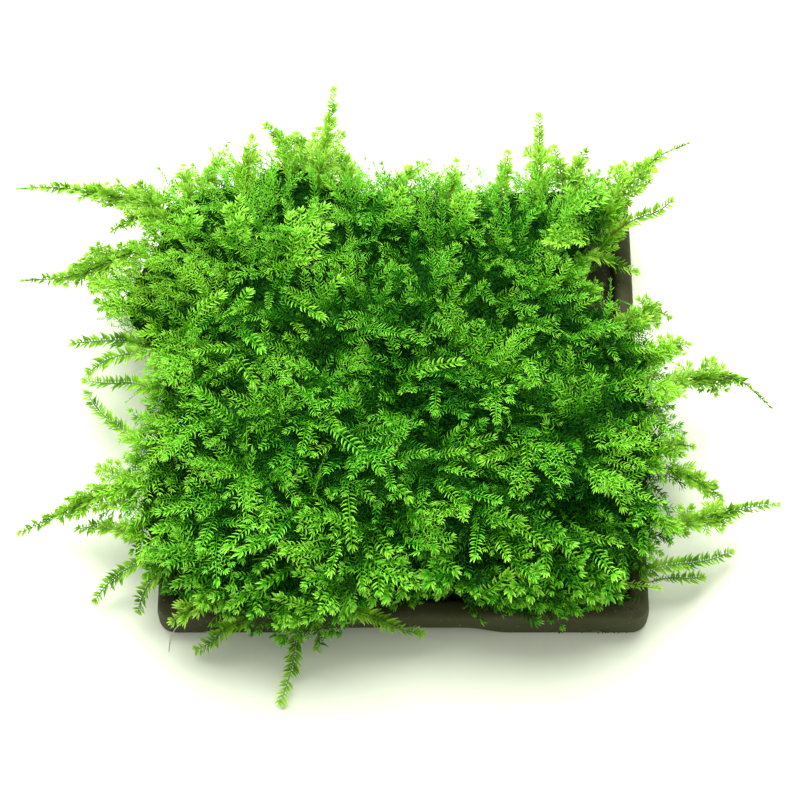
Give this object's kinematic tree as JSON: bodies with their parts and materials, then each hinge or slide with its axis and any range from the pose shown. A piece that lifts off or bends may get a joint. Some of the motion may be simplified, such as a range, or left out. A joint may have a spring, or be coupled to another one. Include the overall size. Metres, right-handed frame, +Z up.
{
  "type": "moss clump",
  "caption": "Dense green feather moss grown over the rim of a low square dark tray, with long leafy shoots trailing out on all sides.",
  "frame": {"origin": "middle of the tray's flat base, on the surface it stands on", "axes": "+X to the right and +Y to the back as the picture shows it, +Z up"},
  "size_m": [0.131, 0.105, 0.0266],
  "materials": {
    "tray": "matte dark olive-grey, lightly rubbed and dusty at the corners and rim",
    "moss": "soft leafy living moss, bright green tips over dark olive stems",
    "shoots": "thin fresh yellow-green leaves in two rows on a fine stem"
  },
  "bodies": {
    "root": {"tray": "tray", "moss_cushion": "moss", "shoot_left_1": "shoots", "shoot_left_2": "shoots", "shoot_left_3": "shoots", "shoot_left_4": "shoots", "shoot_left_5": "shoots", "shoot_left_6": "shoots", "shoot_left_7": "shoots", "shoot_left_8": "shoots", "shoot_left_9": "shoots", "shoot_left_10": "shoots", "shoot_left_11": "shoots", "shoot_front_1": "shoots", "shoot_front_2": "shoots", "shoot_front_3": "shoots", "shoot_front_4": "shoots", "shoot_front_5": "shoots", "shoot_back_1": "shoots", "shoot_back_2": "shoots", "shoot_back_3": "shoots", "shoot_back_4": "shoots", "shoot_back_5": "shoots", "shoot_back_6": "shoots", "shoot_back_7": "shoots", "shoot_back_8": "shoots", "shoot_back_9": "shoots", "shoot_back_10": "shoots", "shoot_back_11": "shoots", "shoot_back_12": "shoots", "shoot_back_13": "shoots", "shoot_right_1": "shoots", "shoot_right_2": "shoots", "shoot_right_3": "shoots", "shoot_right_4": "shoots", "shoot_right_5": "shoots", "shoot_right_6": "shoots", "shoot_right_7": "shoots", "shoot_right_8": "shoots", "shoot_right_9": "shoots", "shoot_right_10": "shoots", "shoot_right_11": "shoots", "shoot_right_12": "shoots"}
  },
  "joints": []
}
